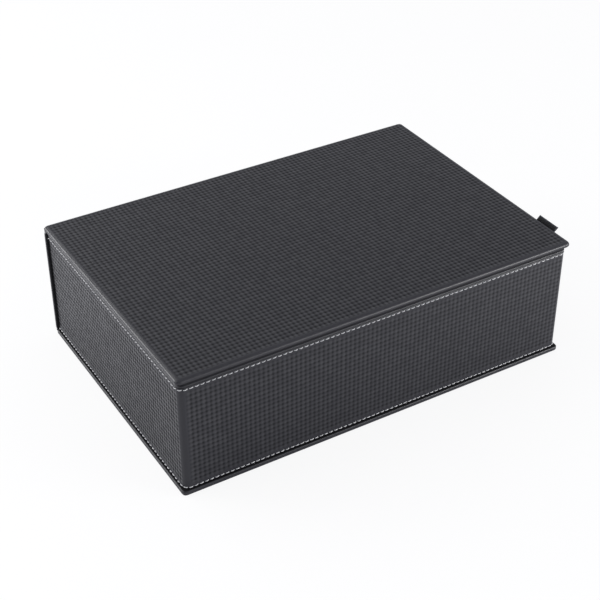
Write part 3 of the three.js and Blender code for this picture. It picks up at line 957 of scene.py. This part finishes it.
def stitch_tree():
    """Stitches along a line: a thread that rises from one needle hole and dives into the next."""
    tree = bpy.data.node_groups.new("Stitch_Row", "GeometryNodeTree")
    tree.is_modifier = True
    face = tree.interface
    face.new_socket("Geometry", in_out="INPUT", socket_type="NodeSocketGeometry")
    for label, value in (
        ("Pitch", 3.9 * MM),
        ("Stitch Length", STITCH_LENGTH),
        ("Thread", THREAD),
        ("Crown", 0.30 * MM),
        ("Slant", math.radians(6.0)),
    ):
        face.new_socket(label, in_out="INPUT", socket_type="NodeSocketFloat").default_value = value
    face.new_socket("Finish", in_out="INPUT", socket_type="NodeSocketMaterial")
    face.new_socket("Geometry", in_out="OUTPUT", socket_type="NodeSocketGeometry")
    n = Nodes(tree)
    start = n.add("NodeGroupInput").outputs
    end = n.add("NodeGroupOutput")

    def combine(x, y, z):
        return n.add("ShaderNodeCombineXYZ", {0: x, 1: y, 2: z}).outputs[0]

    def lot(low, high, seed):
        """A number of its own for each stitch."""
        node = n.add("FunctionNodeRandomValue", data_type="FLOAT")
        shown = {s.name: k for k, s in enumerate(node.inputs) if s.enabled}
        n.feed(node, {shown["Min"]: low, shown["Max"]: high, shown["Seed"]: seed})
        return next(s for s in node.outputs if s.enabled)

    # One stitch, along X, with its ends under the leather.
    half = n.math("MULTIPLY", start["Stitch Length"], 0.5)
    dive = n.math("MULTIPLY", start["Thread"], -0.45)
    crown = n.math("MULTIPLY_ADD", start["Crown"], 2.0, n.math("MULTIPLY", dive, -1.0))
    arch = n.add("GeometryNodeCurveQuadraticBezier", {
        "Resolution": 7,
        "Start": combine(n.math("MULTIPLY", half, -1.0), 0.0, dive),
        "Middle": combine(0.0, 0.0, crown),
        "End": combine(half, 0.0, dive),
    })
    thickness = n.math("MULTIPLY", start["Thread"], 0.5)
    round_thread = n.add("GeometryNodeCurvePrimitiveCircle", {"Resolution": 7, "Radius": thickness})
    thread = n.add("GeometryNodeCurveToMesh", {
        "Fill Caps": True,
        "Curve": arch.outputs["Curve"],
        "Profile Curve": round_thread.outputs["Curve"],
    })

    # Needle points along the seam line, each with its own turn and length.
    line = n.add("GeometryNodeMeshToCurve", {"Mesh": start["Geometry"]}).outputs["Curve"]
    spaced = n.add("GeometryNodeCurveToPoints", {"Curve": line, "Length": start["Pitch"]}, mode="LENGTH")
    tangent = spaced.outputs["Tangent"]
    outward = n.add("ShaderNodeVectorMath", {0: tangent, 1: (0.0, 0.0, 1.0)}, operation="CROSS_PRODUCT")
    aim_feeds = {"Primary Axis": tangent, "Secondary Axis": outward.outputs[0]}
    aim = n.add("FunctionNodeAxesToRotation", aim_feeds, primary_axis="X", secondary_axis="Z")
    tilt = combine(0.0, 0.0, n.math("ADD", start["Slant"], lot(-0.05, 0.05, 5)))
    turn_feeds = {"Rotation": aim.outputs["Rotation"], "Rotate By": tilt}
    turn = n.add("FunctionNodeRotateRotation", turn_feeds, rotation_space="LOCAL")
    copies = n.add("GeometryNodeInstanceOnPoints", {
        "Points": spaced.outputs["Points"],
        "Instance": thread.outputs["Mesh"],
        "Rotation": turn.outputs["Rotation"],
        "Scale": combine(lot(0.92, 1.06, 8), 1.0, 1.0),
    })
    real = n.add("GeometryNodeRealizeInstances", {"Geometry": copies.outputs["Instances"]})
    soft = n.add("GeometryNodeSetShadeSmooth", {"Geometry": real.outputs["Geometry"]})
    finish = {"Geometry": soft.outputs["Geometry"], "Material": start["Finish"]}
    n.feed(end, {"Geometry": n.add("GeometryNodeSetMaterial", finish).outputs["Geometry"]})
    return tree


def plain_from_tree(name, line_points, tree, values):
    """Runs the tree on a line of points and keeps the result as a plain mesh."""
    mesh = bpy.data.meshes.new(name + "_line")
    edges = [(i, i + 1) for i in range(len(line_points) - 1)]
    mesh.from_pydata(line_points, edges, [])
    carrier = put_in_scene(name + "_line", mesh)
    modifier = carrier.modifiers.new("rows", "NODES")
    modifier.node_group = tree
    identifiers = {
        item.name: item.identifier
        for item in tree.interface.items_tree
        if item.item_type == "SOCKET" and item.in_out == "INPUT"
    }
    for label, value in values.items():
        modifier[identifiers[label]] = value
    bpy.context.view_layer.update()
    graph = bpy.context.evaluated_depsgraph_get()
    made = bpy.data.meshes.new_from_object(carrier.evaluated_get(graph))
    bpy.data.objects.remove(carrier)
    made.name = name
    return put_in_scene(name, made)


def seam_path(level, share):
    """Along the left side, the front and the right side, dipping at the front-left corner."""
    low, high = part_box("tray_cover")
    places, outwards, sides, *_ = band_path(low, high, 3 * MM, BAND_COARSE)
    first = np.argmax(sides == 3)
    last = np.max(np.where(sides == 1)[0])
    order = list(range(first, len(sides))) + list(range(last + 1))
    inset = band_inset(np.array([level]), low, high)[0]
    dip = corner_dip(places, low)
    points = []
    for i in order:
        spot = places[i] - outwards[i] * inset
        points.append((spot[0], spot[1], level - dip[i] * share))
    return points


def make_stitching():
    low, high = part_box("tray_cover")
    upper, lower = seam_lines(low, high)
    tree = stitch_tree()
    for name, level, pitch, share in (
        ("stitching_upper", upper, STITCH_PITCH_UPPER, UPPER_DIP),
        ("stitching_lower", lower, STITCH_PITCH_LOWER, LOWER_DIP),
    ):
        values = {"Pitch": pitch, "Finish": THREAD_FINISH}
        piece = plain_from_tree(name, seam_path(level, share), tree, values)
        settle(piece, "case", "thread")


# ------------------------------------------------------------------ ribbon tab


def make_ribbon_tab():
    """A ribbon folded double: its ends are glued under the lid, its fold stands out and up."""
    low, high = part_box("side_tab")
    thickness, gap = 0.17 * MM, 0.015 * MM
    bend_x = low.x + 6.0 * MM
    flat_z = low.z + 0.2 * MM
    bend_radius, angle, free = 2.5 * MM, math.radians(42.0), 4.6 * MM
    centre = np.array([bend_x, flat_z + bend_radius])
    line, normals = [], []
    for x in np.linspace(low.x + 0.2 * MM, bend_x, 6)[:-1]:
        line.append((x, flat_z))
        normals.append((0.0, 1.0))
    for t in np.linspace(0.0, angle, 9):
        line.append(tuple(centre + bend_radius * np.array([math.sin(t), -math.cos(t)])))
        normals.append((-math.sin(t), math.cos(t)))
    tangent = np.array([math.cos(angle), math.sin(angle)])
    last = np.array(line[-1])
    for d in np.linspace(0.0, free, 8)[1:]:
        line.append(tuple(last + tangent * d))
        normals.append((-math.sin(angle), math.cos(angle)))
    line, normals = np.array(line), np.array(normals)
    # The two layers part a little towards the fold.
    travel = np.concatenate([[0], np.cumsum(np.linalg.norm(np.diff(line, axis=0), axis=1))])
    apart = gap + 0.16 * MM * smoothstep(7.0 * MM, travel[-1], travel)
    tip = line[-1]
    turns = np.linspace(math.pi / 2, -math.pi / 2, 9)[1:-1]

    def section_at(thick):
        def around(reach):
            return [tip + (tangent * math.cos(t) + normals[-1] * math.sin(t)) * reach for t in turns]

        outside, inside = (apart + thick)[:, None] * normals, apart[:, None] * normals
        ring = list(line + outside) + around(apart[-1] + thick) + list((line - outside)[::-1])
        ring += list(line - inside) + around(apart[-1])[::-1] + list((line + inside)[::-1])
        return np.array(ring)

    # The woven selvages are thicker than the ribbon between them.
    selvage, selvage_rise = 0.5 * MM, 0.16 * MM
    width = high.y - low.y - 0.1 * MM
    fine_start = np.linspace(0.0, 2 * selvage, 9)
    between = np.linspace(2.4 * selvage, width - 2.4 * selvage, 25)
    across = np.concatenate([fine_start, between, width - fine_start[::-1]])
    columns = len(across)
    points, rims = [], []
    for d in across:
        rim = hump(min(d, width - d), 0.8 * selvage, 0.6 * selvage)
        section = section_at(thickness + selvage_rise * rim)
        points += [(x, low.y + 0.05 * MM + d, z) for x, z in section]
        # The edge mask marks the painted highlight on the selvages and near the fold.
        near_fold = smoothstep(bend_x + 4.0 * MM, section[:, 0].max(), section[:, 0])
        rims += list(np.maximum(rim, 0.8 * near_fold))
    count = len(section)
    faces = tube_faces(columns, count)
    wrap = 2 * len(line) + len(turns)
    for base in (0, (columns - 1) * count):
        for j in range(wrap - 1):
            faces.append((base + j, base + j + 1, base + count - 2 - j, base + count - 1 - j))
    piece = make_piece("ribbon_tab", np.array(points), faces, RIBBON, edge=np.array(rims))
    face_outwards(piece)
    settle(piece, "lid", "ribbon", "side_tab")


# ------------------------------------------------------------------ soft pieces


def make_lid_pad():
    """Suede over a thin foam sheet: rolled edges and a face that is full in the middle."""
    low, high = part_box("lid_lining")
    size = high - low
    margin = np.array([0, 0.4, 1.1, 2.2, 4, 7])

    def lines(length, count):
        middle = np.linspace(12, length / MM - 12, count)
        return np.concatenate([margin, middle, length / MM - margin[::-1]]) * MM

    lines_x, lines_y = lines(size.x, 48), lines(size.y, 32)
    x, y = np.meshgrid(lines_x, lines_y, indexing="ij")
    edge = np.minimum(np.minimum(x, size.x - x), np.minimum(y, size.y - y))
    roll = 1 - np.sqrt(np.clip(1 - (1 - np.clip(edge / (2.4 * MM), 0, 1)) ** 2, 0, 1))
    rng = np.random.default_rng(21)

    def wave(along):
        return np.sin(along * rng.uniform(20, 90) + rng.uniform(0, TAU))

    waves = sum(wave(x) * wave(y) for _ in range(6))
    face = low.z + 2.3 * MM * roll + 0.10 * MM * (1 - roll) * (0.5 + 0.08 * waves)
    index = np.arange(x.size).reshape(x.shape)
    under = np.stack([x + low.x, y + low.y, face], axis=-1).reshape(-1, 3)
    faces = four_sided(index[:-1, :-1], index[:-1, 1:], index[1:, 1:], index[1:, :-1])
    rim = border(index)
    top = under[rim].copy()
    top[:, 2] = high.z - 0.05 * MM
    points = np.concatenate([under, top])
    upper = len(under) + np.arange(len(rim))
    faces += four_sided(rim, np.roll(rim, -1), np.roll(upper, -1), upper)
    faces.append(upper.tolist())
    piece = make_piece("lid_pad", points, faces, SUEDE)
    face_outwards(piece)
    settle(piece, "lid", "suede", "lid_lining")


def swollen_block(size):
    """A foam block in its cover, swollen by cloth simulation; returns its surface for measuring."""
    bm = bmesh.new()
    bmesh.ops.create_cube(bm, size=1.0)
    bmesh.ops.scale(bm, vec=[side - FOAM_SHRINK for side in size], verts=bm.verts)
    along = [e for e in bm.edges if abs(e.verts[0].co.x - e.verts[1].co.x) > 1e-6]
    bmesh.ops.bevel(bm, geom=along, offset=FOAM_EDGE, segments=6, profile=0.5, affect="EDGES")
    mesh = bpy.data.meshes.new("foam_block")
    bm.to_mesh(mesh)
    bm.free()
    block = put_in_scene("foam_block", mesh)
    remesh = block.modifiers.new("even", "REMESH")
    remesh.mode = "VOXEL"
    remesh.voxel_size = FOAM_VOXEL
    bpy.context.view_layer.update()
    graph = bpy.context.evaluated_depsgraph_get()
    even = bpy.data.meshes.new_from_object(block.evaluated_get(graph))
    block.modifiers.clear()
    block.data = even
    before = np.array([v.co for v in even.vertices])
    after = before.copy()
    cloth = block.modifiers.new("cover", "CLOTH")
    cloth.settings.use_pressure = True
    cloth.settings.uniform_pressure_force = FOAM_PRESSURE
    cloth.settings.effector_weights.gravity = 0.0
    cloth.settings.quality = 6
    scene = bpy.context.scene
    for step in range(1, FOAM_STEPS + 1):
        scene.frame_set(step)
    graph = bpy.context.evaluated_depsgraph_get()
    swollen = block.evaluated_get(graph).to_mesh()
    after = np.array([v.co for v in swollen.vertices])
    block.evaluated_get(graph).to_mesh_clear()
    scene.frame_set(1)
    moved = after - before
    length = np.linalg.norm(moved, axis=1, keepdims=True)
    after = before + moved * np.minimum(1.0, FOAM_LIMIT / np.maximum(length, 1e-9))
    spread = after.max(axis=0) - after.min(axis=0)
    faces = [tuple(p.vertices) for p in even.polygons]
    tree = BVHTree.FromPolygons([Vector(p) for p in after], faces)
    bpy.data.objects.remove(block)
    return tree, spread


def cushion_shape(tree, spread, size):
    """Rings round the cushion and a panel at each end, laid on the swollen block, with seams between."""
    fit = np.array(size) / spread
    turns = CUSHION_TURNS
    half = spread[0] / 2
    seam = half - CUSHION_SEAM
    offsets = np.array([0, 0.5, 1.0, 1.6, 2.6, 4.2, 6.5, 9.5]) * MM
    positive = np.concatenate([np.linspace(0, seam - 13 * MM, 5), (seam - offsets)[::-1]])
    xs = np.concatenate([-positive[:0:-1], positive])
    angles = [TAU * k / turns for k in range(turns)]
    ways = [Vector((0, math.cos(t), math.sin(t))) for t in angles]
    rings = np.array([[np.array(tree.ray_cast(Vector((x, 0, 0)), way)[0]) for way in ways] for x in xs])
    # The cover sinks in at the stitched line.
    near = hump(np.abs(xs), seam, 0.9 * MM)
    outward = rings - np.stack([xs, 0 * xs, 0 * xs], axis=-1)[:, None, :]
    length = np.linalg.norm(outward, axis=2, keepdims=True)
    rings = rings - outward / length * (0.9 * MM * near)[:, None, None]
    points = [rings.reshape(-1, 3)]
    ends = []
    for sign, ring in ((-1, rings[0]), (1, rings[-1])):
        panel = []
        for share in (0.97, 0.93, 0.86, 0.74, 0.58, 0.40, 0.20):
            loop = []
            for p in ring:
                y, z = p[1] * share, p[2] * share
                hit = tree.ray_cast(Vector((sign * 0.1, y, z)), Vector((-sign, 0, 0)))[0]
                x = hit.x if hit else sign * half
                rise = smoothstep(0.0, 0.10, 1 - share)
                loop.append((p[0] + (x - p[0]) * rise, y, z))
            panel.append(loop)
        ends.append((np.array(panel), np.array([[sign * half, 0, 0]])))
    faces = tube_faces(len(xs), turns)
    start = len(xs) * turns
    for (panel, tip), first in zip(ends, (0, (len(xs) - 1) * turns)):
        points.append(panel.reshape(-1, 3))
        points.append(tip)
        previous = first + np.arange(turns)
        for m in range(len(panel)):
            current = start + m * turns + np.arange(turns)
            faces += four_sided(previous, np.roll(previous, -1), np.roll(current, -1), current)
            previous = current
        point = start + len(panel) * turns
        faces += [(int(previous[k]), int(previous[(k + 1) % turns]), point) for k in range(turns)]
        start = point + 1
    return np.concatenate(points) * fit, faces, (rings[0] * fit, rings[-1] * fit)


def piping(loop, radius, sides=8):
    """A cord laid along a closed loop."""
    count = len(loop)
    points = []
    tangent = np.roll(loop, -1, axis=0) - np.roll(loop, 1, axis=0)
    tangent /= np.linalg.norm(tangent, axis=1, keepdims=True)
    across = np.array([1.0, 0.0, 0.0])
    outward = np.cross(tangent, across)
    outward /= np.linalg.norm(outward, axis=1, keepdims=True)
    for i in range(count):
        for k in range(sides):
            t = TAU * k / sides
            points.append(loop[i] + radius * (across * math.cos(t) + outward[i] * math.sin(t)))
    index = np.arange(count * sides).reshape(count, sides)
    turned = np.roll(index, -1, axis=1)
    faces = four_sided(index, turned, np.roll(turned, -1, axis=0), np.roll(index, -1, axis=0))
    return np.array(points), faces


def make_cushions():
    names = sorted(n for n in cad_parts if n.startswith("cushion_"))
    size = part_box(names[0])[1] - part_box(names[0])[0]
    inner = Vector((size.x - 0.6 * MM, size.y - 0.4 * MM, size.z - 0.4 * MM))
    tree, spread = swollen_block(inner)
    shape, faces, seams = cushion_shape(tree, spread, inner)
    floor = -inner.z / 2 + 0.1 * MM
    for number, name in enumerate(names):
        low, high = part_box(name)
        middle = np.array((low + high) / 2)
        rng = np.random.default_rng(100 + number)
        side = -1.0 if number % 2 else 1.0

        def dented(p):
            p = p * np.array([side, 1.0, 1.0])
            shift = np.zeros(len(p))
            for _ in range(5):
                wave = rng.uniform(-90, 90, 3)
                shift += np.sin(p @ wave + rng.uniform(0, TAU))
            direction = p / np.linalg.norm(p, axis=1, keepdims=True)
            depth = CUSHION_DENT * (shift + 2.5)
            p = p - direction * depth[:, None] * np.array([0.3, 1.0, 1.0])
            p[:, 2] = np.maximum(p[:, 2], floor)
            return p + middle

        state = rng.bit_generator.state
        body = make_piece("watch_" + name, dented(shape), faces, CUSHION_SUEDE)
        face_outwards(body)
        settle(body, name, "cushion_suede", name)
        cords, cord_faces, start = [], [], 0
        for loop in seams:
            rng.bit_generator.state = state
            points, some = piping(dented(loop), PIPING_RADIUS)
            cords.append(points)
            cord_faces += [tuple(start + i for i in f) for f in some]
            start += len(points)
        cord = make_piece("piping_" + name, np.concatenate(cords), cord_faces, CUSHION_SUEDE)
        face_outwards(cord)
        settle(cord, name, "cushion_suede")


# ------------------------------------------------------------------ pieces kept from the frame


def finish_node(name, material, soften=0.0):
    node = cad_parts[name]
    node.data.materials.clear()
    node.data.materials.append(material)
    if soften:
        weld = node.modifiers.new("joined", "WELD")
        weld.merge_threshold = 0.001 * MM
        bevel = node.modifiers.new("soft_edges", "BEVEL")
        bevel.width = soften
        bevel.segments = 3
        bevel.limit_method = "ANGLE"
        bevel.harden_normals = False
        node.data.shade_smooth()


def finish_frame_nodes():
    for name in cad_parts:
        if name.endswith("_board"):
            finish_node(name, BOARD)
        elif "magnet" in name:
            finish_node(name, STEEL)
        elif name.endswith("_lining") and name != "lid_lining":
            finish_node(name, SUEDE, 0.3 * MM)
        elif "divider" in name:
            finish_node(name, SUEDE, 0.8 * MM)


# ------------------------------------------------------------------ the whole box

place_camera()
light_the_studio()
lay_floor()
make_lid()
make_base()
make_spine()
make_joint_leather()
make_base_joint()
make_joint_liner()
make_tray_band()
make_panel_boards()
make_wall_boards()
make_stitching()
make_ribbon_tab()
make_lid_pad()
make_cushions()
finish_frame_nodes()

bpy.context.view_layer.update()
